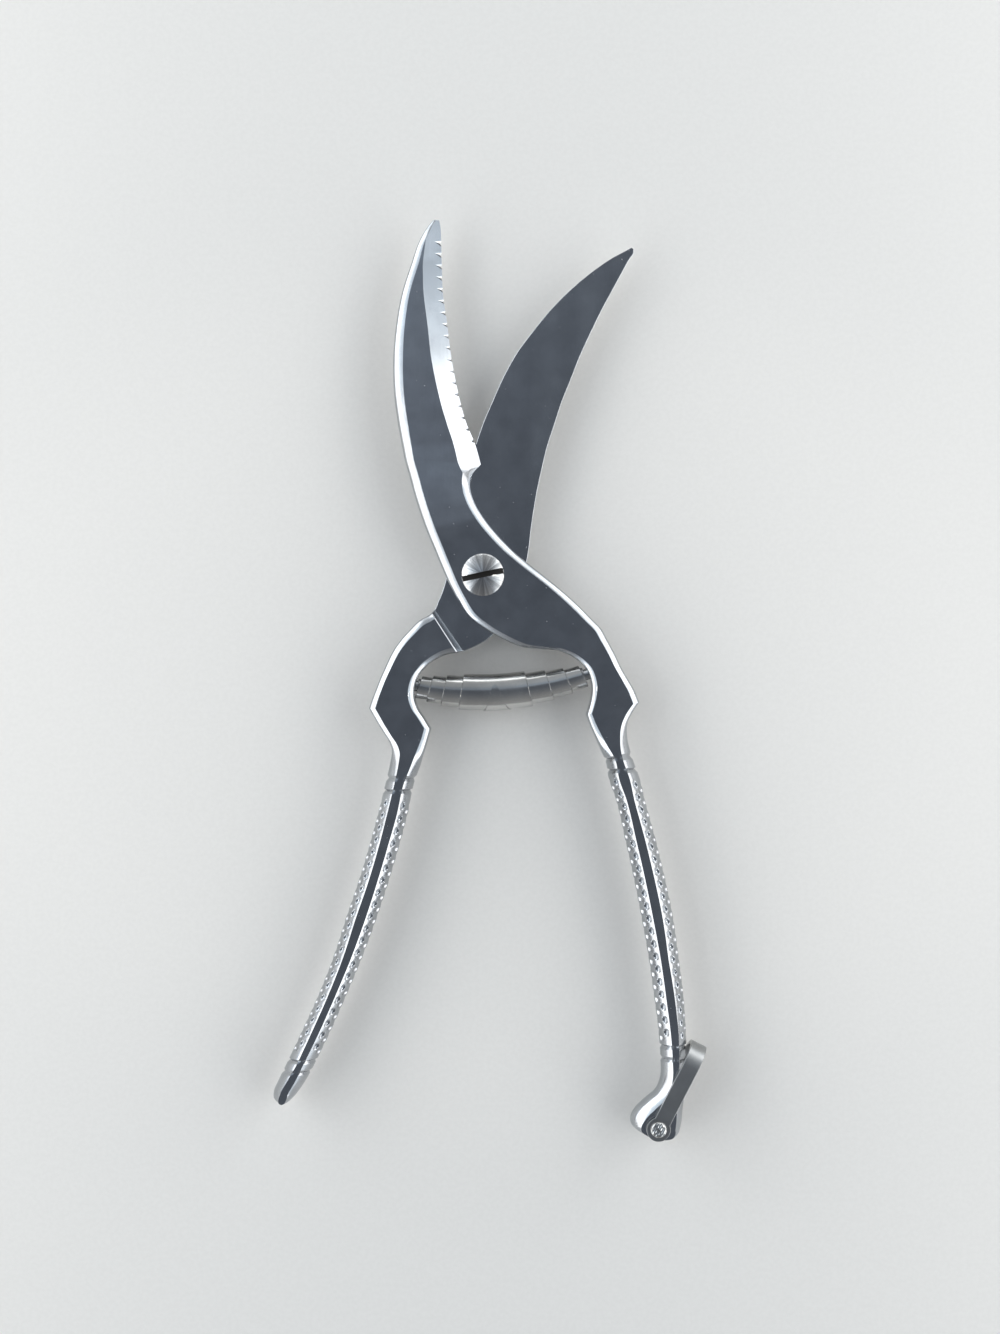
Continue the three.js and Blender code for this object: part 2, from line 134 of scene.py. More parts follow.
def ring_faces(rings, count):
    """Quads between closed rings of count points."""
    faces = []
    for r in range(rings - 1):
        for k in range(count):
            a, b = r * count + k, r * count + (k + 1) % count
            faces.append((a, b, b + count, a + count))
    return faces


def capped_rings(rings, count):
    """The same, closed by one face at each end."""
    last = (rings - 1) * count
    return ring_faces(rings, count) + [tuple(reversed(range(count))), tuple(last + k for k in range(count))]


# ---- the two halves ----
# Each row is a station: a point on one edge, the point across from it on the other edge, and
# which of the two is a corner. Rows run from the blade's tip to the end of the handle.
SERRATED_ROWS = [
    (-13.4, 95.9, -11.8, 95.9), (-14.7, 94.4, -11.5, 94.4), (-17.0, 90.6, -11.3, 90.6),
    (-19.4, 83.9, -11.1, 83.9), (-21.8, 76.4, -10.8, 76.4), (-23.5, 67.0, -9.6, 67.5),
    (-24.2, 58.1, -8.5, 58.7), (-24.0, 49.6, -6.8, 49.8), (-23.0, 41.5, -4.6, 41.5),
    (-21.8, 34.8, -1.9, 34.8), (-21.0, 30.8, -0.6, 30.0, "second"), (-19.9, 27.0, -2.8, 27.4),
    (-18.8, 22.8, -3.4, 23.8), (-17.4, 18.2, -2.4, 20.1), (-15.2, 12.0, 0.2, 15.5),
    (-12.9, 6.5, 3.8, 11.0), (-10.9, 1.7, 7.8, 6.9), (-8.9, -2.7, 11.7, 3.5),
    (-6.7, -6.7, 15.6, 0.4), (-4.0, -10.9, 19.6, -2.8), (-0.1, -14.0, 23.1, -5.8),
    (5.4, -17.2, 26.4, -8.9), (10.5, -19.3, 29.4, -12.0), (15.6, -19.9, 31.8, -14.5),
    (20.2, -20.3, 33.3, -17.2), (24.4, -22.1, 35.3, -20.9), (27.7, -25.0, 37.3, -25.1),
    (29.1, -28.4, 39.2, -28.4), (29.2, -32.2, 40.7, -31.0), (28.6, -35.1, 41.4, -32.7),
    (27.9, -37.5, 42.0, -34.2, "both"), (28.5, -39.4, 40.3, -36.7), (30.2, -43.4, 38.8, -40.0),
    (31.8, -47.2, 38.9, -43.7), (33.0, -49.8, 40.3, -49.1), (34.0, -55.0, 42.4, -55.0),
    (35.8, -60.3, 43.7, -60.3), (38.3, -71.0, 46.6, -71.0), (40.7, -81.8, 49.2, -81.8),
    (42.7, -92.0, 51.3, -92.0), (44.7, -103.2, 52.9, -103.2), (46.2, -113.9, 54.2, -113.9),
    (47.4, -123.3, 54.8, -123.3), (47.9, -130.5, 54.9, -130.5), (47.8, -135.4, 54.7, -135.9),
    (46.6, -138.4, 54.5, -139.7), (43.7, -141.0, 54.2, -141.8), (41.2, -143.4, 53.9, -143.9),
    (39.8, -146.0, 53.7, -146.4), (39.9, -147.8, 53.3, -148.8), (41.2, -149.2, 52.8, -150.2),
    (43.7, -150.5, 51.6, -151.2), (46.7, -151.4, 49.6, -151.6),
]
# Row, width of the first and of the second edge's rounding, and how straight the cutting edge's one is
# (1 is a flat bevel). The serrated half cuts with its second edge and the plain half with its first.
SERRATED_EDGES = [
    (0, 0.3, 1.0, 1), (1, 0.85, 2.2, 1), (2, 1.6, 4.1, 1), (3, 2.1, 5.1, 1), (4, 2.2, 5.2, 1),
    (6, 2.7, 5.4, 1), (8, 2.7, 5.3, 1), (9, 2.6, 5.9, 1), (10, 2.5, 6.1, 1), (11, 2.5, 2.5, 0.6),
    (12, 2.5, 2.1, 0), (16, 2.3, 2.1, 0), (18, 2.0, 1.9, 0), (22, 1.7, 1.75, 0), (25, 1.6, 1.7, 0),
    (27, 1.35, 1.7, 0), (30, 1.35, 1.7, 0), (32, 1.6, 1.8, 0), (34, 2.5, 2.8, 0), (36, 2.7, 3.1, 0),
    (40, 3.0, 3.1, 0), (41, 3.0, 2.7, 0), (42, 3.0, 2.3, 0), (44, 3.0, 2.2, 0), (45, 3.7, 2.2, 0),
    (46, 4.7, 2.2, 0), (47, 4.8, 1.9, 0), (48, 3.7, 1.8, 0), (49, 2.6, 1.7, 0), (50, 1.4, 1.2, 0),
    (51, 0.7, 0.7, 0), (52, 0.4, 0.4, 0),
]
SERRATED_BLADE_END = 10
SERRATED_SHOULDER_ROWS = (16.4, 16.5)
SERRATED_GRIP = (34.6, 42.53)      # rows between the two groove pairs

PLAIN_ROWS = [
    (40.1, 88.6, 40.7, 88.1), (39.2, 88.1, 40.7, 87.2), (34.8, 85.7, 39.6, 85.5),
    (28.9, 81.6, 37.5, 81.7), (22.8, 76.4, 34.5, 76.2), (17.6, 71.0, 31.5, 70.5),
    (13.2, 65.6, 28.9, 65.1), (9.0, 59.9, 26.2, 59.2), (5.4, 53.4, 23.6, 52.6),
    (2.5, 46.9, 21.2, 46.6), (-0.1, 40.8, 19.3, 40.7), (-2.2, 34.5, 17.3, 34.5),
    (-3.8, 29.2, 15.9, 28.6), (-5.3, 24.1, 14.8, 23.6), (-6.6, 18.5, 13.9, 18.5),
    (-7.9, 12.8, 13.1, 13.1), (-8.8, 7.5, 12.5, 8.0), (-9.5, 2.7, 11.8, 3.5),
    (-10.1, -1.4, 10.6, -2.2), (-10.7, -3.5, 8.6, -7.3), (-11.3, -5.2, 5.9, -12.1),
    (-12.1, -7.0, 1.5, -16.9), (-12.8, -8.8, -4.5, -20.1), (-13.9, -10.3, -7.2, -20.95),
    (-17.1, -12.2, -8.3, -21.1), (-19.8, -14.9, -9.8, -21.4), (-22.3, -17.7, -11.4, -22.0),
    (-24.1, -20.3, -13.1, -22.9), (-25.4, -22.8, -14.6, -23.9), (-26.6, -25.5, -15.8, -25.1),
    (-27.8, -28.2, -17.2, -26.9), (-28.8, -30.8, -18.1, -29.2), (-29.8, -33.4, -18.4, -32.2),
    (-30.6, -35.8, -17.5, -35.7, "first"), (-29.4, -37.9, -15.8, -38.3),
    (-28.0, -40.3, -14.0, -41.3, "second"), (-26.3, -43.0, -14.8, -44.2), (-25.0, -45.2, -15.5, -46.5),
    (-24.5, -47.2, -16.1, -48.4), (-24.9, -49.9, -16.6, -50.3), (-26.3, -56.0, -18.6, -56.0),
    (-28.4, -64.3, -20.3, -64.3), (-30.6, -72.4, -22.5, -72.7), (-33.4, -81.8, -25.3, -82.2),
    (-36.9, -92.1, -28.5, -92.0), (-40.5, -103.2, -32.5, -102.9), (-44.7, -113.7, -36.9, -113.4),
    (-49.3, -123.8, -41.5, -123.8), (-53.0, -131.7, -45.4, -131.7), (-55.2, -136.2, -47.7, -136.0),
    (-56.5, -139.4, -49.7, -139.0), (-56.4, -140.9, -51.1, -140.7), (-55.4, -141.7, -52.6, -141.9),
    (-54.5, -142.1, -53.6, -142.1),
]
PLAIN_EDGES = [
    (0, 0.3, 0.2, 1), (1, 1.1, 0.9, 1), (2, 3.2, 1.5, 1), (3, 4.9, 1.9, 1), (4, 5.1, 2.2, 1),
    (6, 5.4, 2.7, 1), (12, 5.8, 2.5, 1), (13, 2.5, 2.5, 0.6), (14, 2.1, 2.5, 0), (20, 1.9, 1.9, 0),
    (23, 1.75, 1.7, 0), (36, 1.75, 1.7, 0), (38, 2.2, 2.0, 0), (40, 2.6, 2.6, 0), (42, 2.8, 2.9, 0),
    (48, 2.9, 2.9, 0), (50, 2.2, 2.6, 0), (51, 1.6, 1.6, 0), (52, 0.7, 0.7, 0), (53, 0.3, 0.3, 0),
]
PLAIN_BLADE_END = 12
PLAIN_SHOULDER_ROWS = (22.0, 23.0)
PLAIN_GRIP = (40.29, 47.9)

HALF_SHARP = 14         # degrees between faces that leave an edge showing on a half
QUARTER_STEPS = 20      # steps across each rounding
# The slope of a rounding from the flat to the side wall, as (share of the way, degrees)
ARM_RIM = ((0, 27), (0.5, 38), (0.66, 62), (1, 90))
GRIP_RIM = ((0, 20), (0.5, 33), (0.8, 60), (1, 90))
CUTTING_BEVEL = ((0, 40), (1, 40))
FLAT_SHARES = (0.08, 0.18, 0.3, 0.42, 0.58, 0.7, 0.82, 0.92)    # where a flat's inner points lie
# Distance between sections along a half: in general, and closer where the detail is
STATION_STEP = 0.8
GRIP_STEP = 0.21
SHOULDER_STEP = 0.06
END_STEP = 0.25
GROOVE_STEP = 0.08
# How far past each such stretch the closer steps reach, how long the end is and how far carving reaches
REACH = {"grip": 1, "before_groove": 0.4, "after_groove": 0.2, "shoulder": 0.1, "end": 3, "carving": 6}
TABLE_STEPS = 40        # steps per row when a half's length is measured
DIMPLE = {"pitch": 3.43, "r": 1.05, "depth": 0.5, "angles": (24, 57, 90, 123, 156), "quarter_length": 6.2}
# A groove has a steep near side and a shallow far side, and runs out on the flat
GROOVE = {"near": 0.3, "far": 1.0, "depth": 0.6, "apart": 3.4, "reach": 0.95, "raise": 0.6, "on_flat": 0.5}
# How near to the grip's upper and lower groove a dimple's rim and its centre come
DIMPLE_RIM_MARGINS = (2.2, 1.2)
DIMPLE_CENTRE_MARGINS = (3.2, 2.0)
UNCUT_FLAT_MARGINS = (2, 1)     # between these the flat has no grooves

SERRATED_SHOULDER = {"reach": 18.5, "angle": -35}    # distance from the pivot, direction in degrees
LAP_REACH = 140         # longer than either half
THROUGH = 20            # height of a cutter that passes through both halves
PIVOT = {"shank": 3.0, "bore": 3.08}
HEAD = {"r": 5.65, "rim": 0.55, "dome": 1.5, "gap": 0.05}
SLOT = {"width": 1.5, "depth": 1.65, "angle": 12}
NUT = {"across": 10, "height": 2.9, "bore": 3.06}
RIVET = {"x": 47.0, "y": -148.4, "r": 1.25, "bore": 1.33, "head_r": 2.2, "head_h": 0.85,
         "play": 0.1, "dent": 0.07}
STRAP = {"sheet": 1.2, "width": 4.4, "eye": 3.2, "bend_at": 18.4, "gap": 0.5, "angle": 62.7}
# A notch is filed with one shallow side, towards the tip, and one steep side
TOOTH = {"count": 18, "first": 89.7, "pitch": 3.14, "reach": 2.1, "fade": 0.45, "slant": 12, "upper": 0.7,
         "lower": -0.62, "root": -0.1, "depth": 0.36}
ARC = {"x0": -17.6, "y0": -29.9, "chord": 45.4, "tilt": 3.9, "half_angle": 14}
TURNS = ((0.3, 4.1, 2.95), (4.1, 7.9, 3.55), (7.9, 12.6, 4.1), (12.6, 29.3, 4.7), (29.3, 35.0, 4.1),
         (35.0, 40.1, 3.55), (40.1, 45.2, 2.95))     # from, to, outer radius
WIDEST = 3              # index of the widest turn, into which both its neighbours slide
TURN = {"wall": 0.3, "lap": 0.75, "oblique": 0.5, "soft": 0.14, "step": 0.8, "segments": 72}
# The strip's pointed end, by distance round the turn: its half width grows from narrow to widest
TONGUE = {"above": 0.01, "thick": 0.24, "tip": -22, "end": 200, "rows": 60, "across": 10, "crowding": 1.5,
          "middle": 20.95, "lean": 0.03, "narrow": 0.62, "widening": 0.30, "widest": 5.2, "point": 0.7,
          "point_share": 0.02, "lift": 0.3, "lift_power": 6}
PEG = {"r": 1.5, "collar_r": 2.1, "collar": 0.8, "tail": 3.0, "length": 4.6}


def rim_shape(slopes):
    """From a flat to the side wall, as shares of width and depth. Slopes are (share of the way, degrees)."""
    shares = [entry[0] for entry in slopes]
    degrees = [entry[1] for entry in slopes]
    points = [(0.0, 0.0)]
    parts = 8
    for k in range(QUARTER_STEPS * parts):
        a = math.radians(float(np.interp((k + 0.5) / (QUARTER_STEPS * parts), shares, degrees)))
        points.append((points[-1][0] + math.cos(a), points[-1][1] + math.sin(a)))
    width, depth = points[-1]
    return [(1 - u / width, v / depth) for u, v in points[::parts]]


SHAPES = {"arm": rim_shape(ARM_RIM), "grip": rim_shape(GRIP_RIM), "bevel": rim_shape(CUTTING_BEVEL)}


def mixed(shape, other, share):
    return [(u + (a - u) * share, v + (b - v) * share) for (u, v), (a, b) in zip(shape, other)]


def station_section(row, edges):
    """Closed loop of (x, y, z, side angle in degrees, side sign). Side angle 0 is front, 180 is back."""
    xa, ya, xb, yb = row
    span = math.hypot(xb - xa, yb - ya)
    for a, b in (("front_first", "front_second"), ("back_first", "back_second")):
        share = min(1, ROUNDED_SHARE * span / (edges[a]["w"] + edges[b]["w"]))
        edges[a], edges[b] = ({**edges[name], "w": edges[name]["w"] * share} for name in (a, b))
    loop = []

    def put(inset, z, angle, side):
        t = inset / span if side < 0 else 1 - inset / span
        loop.append((xa + (xb - xa) * t, ya + (yb - ya) * t, z, angle, side))

    def run(name, side, reverse):
        edge, front = edges[name], name.startswith("front")
        level, shape = edges["top" if front else "bottom"], edge["shape"]
        steps = range(len(shape))
        for k in (reversed(steps) if reverse else steps):
            u, v = shape[k]
            width = edge["w"]
            z = level - v * edge["d"] if front else level + v * edge["d"]
            angle = k / QUARTER_STEPS * 90
            put(width * u, z, angle if front else 180 - angle, side)

    def flat(first, second, level, angle, backwards):
        a, b = first["w"], second["w"]
        shares = reversed(FLAT_SHARES) if backwards else FLAT_SHARES
        for share in shares:
            put(a + (span - a - b) * share, level, angle, -1)

    run("front_first", -1, False)
    run("back_first", -1, True)
    flat(edges["back_first"], edges["back_second"], edges["bottom"], 180, False)
    run("back_second", 1, False)
    run("front_second", 1, True)
    flat(edges["front_first"], edges["front_second"], edges["top"], 0, True)
    return loop


def half_edges(row_at, spec):
    """Levels and edge shapes of one station of a half."""
    table, serrated = spec["edges"], spec["serrated"]
    w_first, w_second, straight = look_up(table, row_at)
    plate = blade_plate(row_at, spec["blade_end"])
    if serrated and row_at < TIP_ROW:
        slope = (blade_plate(TIP_ROW, spec["blade_end"]) - EDGE_LAND) / look_up(table, TIP_ROW)[1]
        plate = EDGE_LAND + w_second * slope
    thin = FRONT - MID - SLIDE_GAP - plate
    low, high = spec["shoulder"]
    step = min(max((row_at - low) / (high - low), 0), 1)      # 0 on the lapped plate, 1 on the arm
    arm = step > 0
    step = float(np.interp(step, *zip(*SHOULDER_RISE)))
    grip = min(max((row_at - spec["grip"][0] + GRIP_LEAD) / GRIP_LEAD, 0), 1)
    grip = grip * grip * (3 - 2 * grip)
    rim = mixed(SHAPES["arm"], SHAPES["grip"], grip)

    def arm_depth(w):
        return RIM_DEPTH * w + (MID - BACK - RIM_DEPTH * w) * grip

    def outer(w, s):
        if arm:
            return {"w": w, "d": arm_depth(w), "shape": rim}
        d = min(arm_depth(w), plate * PLATE_DEPTH)
        return {"w": w, "d": d + (plate - EDGE_LAND - d) * s, "shape": mixed(rim, SHAPES["bevel"], s)}

    def inner(w):
        share = step if arm else 0
        width = LAP_EDGE + (w - LAP_EDGE) * share
        return {"w": width, "d": LAP_EDGE + (arm_depth(w) - LAP_EDGE) * share, "shape": rim}

    if serrated:
        top = FRONT - thin
        bottom = BACK if arm else MID + SLIDE_GAP
        return {"top": top, "bottom": bottom, "front_first": outer(w_first, 0),
                "front_second": outer(w_second, straight), "back_first": inner(w_first),
                "back_second": inner(w_second)}
    bottom = BACK + thin
    top = (MID - SLIDE_GAP) + (FRONT - MID + SLIDE_GAP) * step
    return {"top": top, "bottom": bottom, "back_first": outer(w_first, straight),
            "back_second": outer(w_second, 0), "front_first": inner(w_first),
            "front_second": inner(w_second)}


def station_rows(spec):
    """Row positions, close together where the detail is, each with its distance along the half."""
    rows = spec["rows"]
    corners = {side: {i for i, row in enumerate(rows) if len(row) > 4 and row[4] in (side, "both")}
               for side in ("first", "second")}
    first = hermite([row[0:2] for row in rows], corners["first"])
    second = hermite([row[2:4] for row in rows], corners["second"])

    def at(place):
        i = min(int(place), len(rows) - 2)
        return first(i, place - i), second(i, place - i)

    fine_rows = np.linspace(0, len(rows) - 1, (len(rows) - 1) * TABLE_STEPS + 1)
    middles = np.array([(a + b) / 2 for a, b in map(at, fine_rows)])
    fine_along = np.concatenate([[0], np.cumsum(np.linalg.norm(np.diff(middles, axis=0), axis=1))])

    def along_at(row):
        return float(np.interp(row, fine_rows, fine_along))

    start, stop = (along_at(row) - GROOVE["raise"] for row in spec["grip"])
    grooves = groove_centres(start, stop)
    rise = [along_at(row) for row in spec["shoulder"]]
    places, along = [0.0], 0.0
    while along < fine_along[-1]:
        step = STATION_STEP
        if start - REACH["grip"] < along < stop + REACH["grip"]:
            step = GRIP_STEP
        if any(-REACH["before_groove"] < along - g < GROOVE["far"] + REACH["after_groove"] for g in grooves):
            step = GROOVE_STEP
        if not spec["serrated"] and rise[0] - REACH["shoulder"] < along < rise[1] + REACH["shoulder"]:
            step = SHOULDER_STEP
        if fine_along[-1] - along < REACH["end"]:
            step = END_STEP
        along += step
        places.append(float(np.interp(along, fine_along, fine_rows)))
    places += [float(i) for i in corners["first"] | corners["second"]]
    places += list(spec["shoulder"])
    out = []
    for place in sorted(set(places)):
        a, b = at(place)
        out.append((place, along_at(place), (a[0], a[1], b[0], b[1])))
    return out, start, stop


def groove_centres(start, stop):
    return (start - GROOVE["apart"], start, stop, stop + GROOVE["apart"])


def grip_depth(along, angle, side, start, stop):
    """How far the grip's surface lies below its plain shape: grooves at both ends, dimples between."""
    depth = 0.0
    for centre in groove_centres(start, stop):
        off = along - centre
        if -GROOVE["near"] < off <= 0:
            depth = max(depth, GROOVE["depth"] * (1 + off / GROOVE["near"]))
        elif 0 < off < GROOVE["far"]:
            depth = max(depth, GROOVE["depth"] * (1 - off / GROOVE["far"]))
    if between(along, start, stop, DIMPLE_RIM_MARGINS):
        for number, centre_angle in enumerate(DIMPLE["angles"]):
            shift = 0.5 * (number % 2) + (0.25 if side > 0 else 0)
            place = (along - start) / DIMPLE["pitch"] - shift
            off = (place - round(place)) * DIMPLE["pitch"]
            across = (angle - centre_angle) / 90 * DIMPLE["quarter_length"]
            share = (off * off + across * across) / DIMPLE["r"] ** 2
            if share < 1 and between(along - off, start, stop, DIMPLE_CENTRE_MARGINS):
                depth = max(depth, DIMPLE["depth"] * (1 - share))
    return depth


def make_half(name, spec, material):
    stations, start, stop = station_rows(spec)
    verts = []
    for row_at, along, row in stations:
        loop = station_section(row, half_edges(row_at, spec))
        if start - REACH["carving"] < along < stop + REACH["carving"]:
            loop = carve_grip(loop, along, start, stop, row)
        verts += [(x * MM, y * MM, z * MM) for x, y, z, _, _ in loop]
    half = new_object(name, verts, capped_rings(len(stations), len(loop)), material, HALF_SHARP)
    # A second, near-black material for the notches' steep sides: painted shade.
    half.data.materials.append(bpy.data.materials["notch_painted_shade"])
    cut(half, spec["cutters"]())
    smooth_by_angle(half, HALF_SHARP)
    return half


def carve_grip(loop, along, start, stop, row):
    """Moves a grip station's points inward along the section's own normals."""
    across = np.array([row[2] - row[0], row[3] - row[1]])
    span = float(np.linalg.norm(across))
    across /= span
    carved = []
    rims = {side: max(inset_of(p, row, side) for p in loop if p[4] == side and p[3] not in (0, 180))
            for side in (-1, 1)}
    for x, y, z, angle, side in loop:
        if angle in (0, 180):
            inset = inset_of((x, y), row, -1)
            side = -1 if inset < span / 2 else 1
            past = (inset if side < 0 else span - inset) - rims[side]
            fade = max(0.0, 1 - past / GROOVE["reach"])
            uncut = between(along, start, stop, UNCUT_FLAT_MARGINS)
            depth = 0 if uncut else grip_depth(along, 90, side, start, stop)
            depth *= fade * GROOVE["on_flat"]
        else:
            depth = grip_depth(along, angle, side, start, stop)
        if depth > 0:
            turn = math.radians(angle)
            x -= across[0] * side * depth * math.sin(turn)
            y -= across[1] * side * depth * math.sin(turn)
            z -= math.cos(turn) * depth
        carved.append((x, y, z, angle, side))
    return carved


def between(along, start, stop, margins):
    """Whether a place is more than the margins inside a stretch."""
    return start + margins[0] < along < stop - margins[1]


def inset_of(point, row, side):
    """Distance of a point of a section from the edge on its side."""
    x, y = (row[0], row[1]) if side < 0 else (row[2], row[3])
    return math.hypot(point[0] - x, point[1] - y)


# ---- cuts ----
def cut(target, cutters, operation="DIFFERENCE"):
    for cutter in cutters:
        modifier = target.modifiers.new("cut", "BOOLEAN")
        modifier.operation = operation
        modifier.solver = "EXACT"
        modifier.object = cutter
        bpy.context.view_layer.update()
        evaluated = target.evaluated_get(bpy.context.evaluated_depsgraph_get())
        mesh = bpy.data.meshes.new_from_object(evaluated)
        target.modifiers.clear()
        target.data = mesh
        bpy.data.objects.remove(cutter)


def lathe(name, profile, material, segments=64, sharp_deg=30):
    """A closed profile of (radius, height) in millimetres turned about Z. It starts and ends on the axis."""
    inner = profile[1:-1]
    verts = [(r * math.cos(2 * math.pi * k / segments) * MM, r * math.sin(2 * math.pi * k / segments) * MM,
              z * MM) for r, z in inner for k in range(segments)]
    faces = ring_faces(len(inner), segments)
    low, high = len(verts), len(verts) + 1
    verts += [(0, 0, profile[0][1] * MM), (0, 0, profile[-1][1] * MM)]
    last = (len(inner) - 1) * segments
    for k in range(segments):
        faces.append((low, (k + 1) % segments, k))
        faces.append((high, last + k, last + (k + 1) % segments))
    return new_object(name, verts, faces, material, sharp_deg)


def rod(r, z0, z1, x=0.0, y=0.0):
    profile = [(0, z0), (r, z0), (r, z1), (0, z1)]
    return moved(lathe("cutter", profile, bpy.data.materials["polished_steel"]), x, y, 0)


def box(x0, x1, y0, y1, z0, z1):
    verts = [(x * MM, y * MM, z * MM) for x in (x0, x1) for y in (y0, y1) for z in (z0, z1)]
    faces = [(0, 1, 3, 2), (4, 6, 7, 5), (0, 4, 5, 1), (2, 3, 7, 6), (0, 2, 6, 4), (1, 5, 7, 3)]
    return new_object("cutter", verts, faces, bpy.data.materials["polished_steel"])


def turned(obj, degrees, axis="Z"):
    obj.data.transform(Matrix.Rotation(math.radians(degrees), 4, axis))
    return obj


def moved(obj, x, y, z):
    obj.data.transform(Matrix.Translation((x * MM, y * MM, z * MM)))
    return obj


def joined(objects):
    """One mesh of several solids that do not touch."""
    bm = bmesh.new()
    for obj in objects:
        bm.from_mesh(obj.data)
    mesh = bpy.data.meshes.new("joined")
    bm.to_mesh(mesh)
    bm.free()
    first = objects[0]
    for material in first.data.materials:
        mesh.materials.append(material)
    first.data = mesh
    for obj in objects[1:]:
        bpy.data.objects.remove(obj)
    return first


def gullets():
    """Slanting three-sided notches filed into the bevel at equal steps down the cutting edge."""
    edge = [(row[2], row[3]) for row in SERRATED_ROWS[:SERRATED_BLADE_END + 1]]
    heights = [-y for _, y in edge]
    cutters = []
    for k in range(TOOTH["count"]):
        y = TOOTH["first"] - k * TOOTH["pitch"]
        row = float(np.interp(-y, heights, range(len(edge))))
        x, ahead = (float(np.interp(-at, heights, [p[0] for p in edge])) for at in (y, y - 1))
        normal = math.degrees(math.atan2(ahead - x, 1))
        slope = math.degrees(math.atan2(blade_plate(row, SERRATED_BLADE_END) - EDGE_LAND,
                                        look_up(SERRATED_EDGES, row)[1]))
        size = 1 - TOOTH["fade"] * k / (TOOTH["count"] - 1)
        cutters.append(moved(turned(turned(notch(size), slope, "Y"), normal - TOOTH["slant"]), x, y,
                             MID + EDGE_LAND))
    return joined(cutters)


def notch(size):
    """A pyramid with its point on the bevel. Its sides leave the bevel at the upper and lower limits."""
    past, above = 1.6, 0.8
    reach = TOOTH["reach"] * size
    upper, lower, root = (TOOTH[key] * size for key in ("upper", "lower", "root"))
    depth = TOOTH["depth"] * (1 + size) / 2
    base = [(upper + (upper - root) * above, depth * above), (root, -depth),
            (lower + (lower - root) * above, depth * above)]
    verts = [(-reach, 0, 0)] + [(-reach + reach * past, y * past, z * past) for y, z in base]
    verts = [tuple(c * MM for c in v) for v in verts]
    cutter = new_object("cutter", verts, [(0, 1, 2), (0, 2, 3), (0, 3, 1), (3, 2, 1)],
                        bpy.data.materials["polished_steel"])
    cutter.data.materials.append(bpy.data.materials["notch_painted_shade"])
    # The notch's steep side takes the near-black material: painted shade, not a filed finish.
    cutter.data.polygons[1].material_index = 1
    return cutter


def blade_plate(row, blade_end):
    """Thickness of one blade's plate at a row. It thins towards the tip."""
    share = 1 - min(max(row / (blade_end + PLATE_ROWS), 0), 1)
    return FRONT - MID - SLIDE_GAP - (FRONT - MID - TIP_THICKNESS) * share


def serrated_cutters():
    lap = box(-LAP_REACH, SERRATED_SHOULDER["reach"], -LAP_REACH, LAP_REACH, BACK - 2, MID + SLIDE_GAP)
    turned(lap, SERRATED_SHOULDER["angle"])
    bores = joined([rod(PIVOT["bore"], 0, THROUGH), rod(RIVET["bore"], 0, THROUGH, RIVET["x"], RIVET["y"])])
    return [lap, bores, gullets()]


def plain_cutters():
    return [rod(PIVOT["bore"], 0, THROUGH)]


# ---- materials ----
# Each layer of a steel's finish: noise scale, detail, stretch, and the band of the noise that is used
FINISH = {
    "polish": (90, 3, (1, 1, 1), 0.3, 0.7),
    "streak": (120, 2, (1, 0.05, 1), 0.42, 0.72),
    "speck": (1500, 1, (1, 1, 1), 0.80, 0.82),
    "shade": (160, 4, (1, 1, 1), 0.35, 0.65),
}
GRAIN = {"scale": 1400, "detail": 2, "stretch": (1, 0.06, 1), "height": 0.0002}
SHADE = (0.93, 1.07)            # darkest and lightest patch of a steel, as shares of its tint
# Painted reflection streaks on a turned face: light and dark radial spokes in the tint, their darkest and
# lightest share and their noise
TURNED_SPOKE_SHADES = (0.6, 1.2)       # the same on a lathe-turned face
REFLECTION_SPOKES = {"scale": 14, "detail": 3, "low": 0.38, "high": 0.62}


